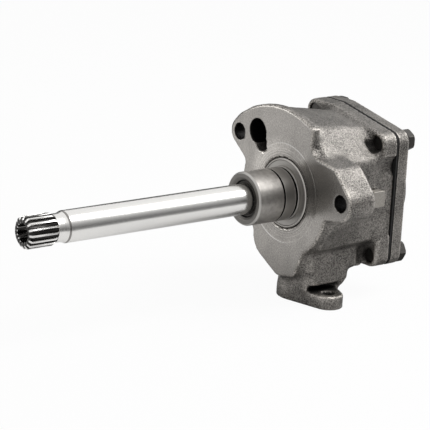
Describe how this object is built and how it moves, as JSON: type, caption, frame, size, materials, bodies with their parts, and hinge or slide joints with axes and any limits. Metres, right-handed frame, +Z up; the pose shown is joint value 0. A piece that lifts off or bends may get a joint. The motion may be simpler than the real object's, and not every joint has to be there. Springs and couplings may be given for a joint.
{
  "type": "engine oil pump",
  "caption": "Lobed-rotor engine oil pump: cast iron body and cover, steel neck, long drive shaft with a splined tip, relief valve, suction foot below.",
  "frame": {"origin": "the shaft axis where it meets the mounting face of the body", "axes": "+X along the shaft from the mounting face towards the rear cover, +Z up, away from the suction foot, +Y towards the side of the left mounting hole"},
  "size_m": [0.312, 0.1353, 0.1414],
  "materials": {
    "cast_body": "rough cast grey iron, warm dark grey",
    "cast_cover": "rough cast grey iron, warm dark grey",
    "ground_steel": "ground steel, satin",
    "polished_steel": "polished steel, bright",
    "rotor_steel": "sintered steel, satin",
    "plain_steel": "plain steel",
    "spring_steel": "dark spring steel",
    "bolt_steel": "dark oxide steel",
    "bronze": "bearing bronze",
    "copper": "soft copper",
    "gasket": "black fibre sheet, matt"
  },
  "bodies": {
    "housing": {"pump_body": "cast_body", "neck": "ground_steel", "front_bush": "bronze", "rear_bush": "bronze", "cover_bush": "bronze", "rear_cover": "cast_cover", "cover_gasket": "gasket", "cover_bolts": "bolt_steel", "cover_dowels": "plain_steel", "relief_spring": "spring_steel", "relief_shim": "plain_steel", "relief_plug": "bolt_steel", "relief_plug_washer": "copper", "test_plug": "bolt_steel"},
    "drive": {"drive_shaft": "polished_steel", "inner_rotor": "rotor_steel", "rotor_key": "plain_steel", "rotor_snap_rings": "spring_steel"},
    "ring": {"outer_rotor": "rotor_steel"},
    "valve": {"relief_plunger": "ground_steel"}
  },
  "joints": [
    {"name": "drive_spin", "type": "hinge", "parent": "housing", "child": "drive", "pos_m": [0, 0, 0], "axis": [1, 0, 0], "continuous": true},
    {"name": "outer_spin", "type": "hinge", "parent": "housing", "child": "ring", "pos_m": [0, 0.0029, 0], "axis": [1, 0, 0], "continuous": true},
    {"name": "relief_lift", "type": "slide", "parent": "housing", "child": "valve", "axis": [1, 0, 0], "range_m": [0, 0.007], "stiffness_N_per_m": 3000, "springref_m": -0.004, "deforming": ["relief_spring"]}
  ],
  "couplings": [
    {"joint": "outer_spin", "follows": "drive_spin", "ratio": 0.85714}
  ]
}
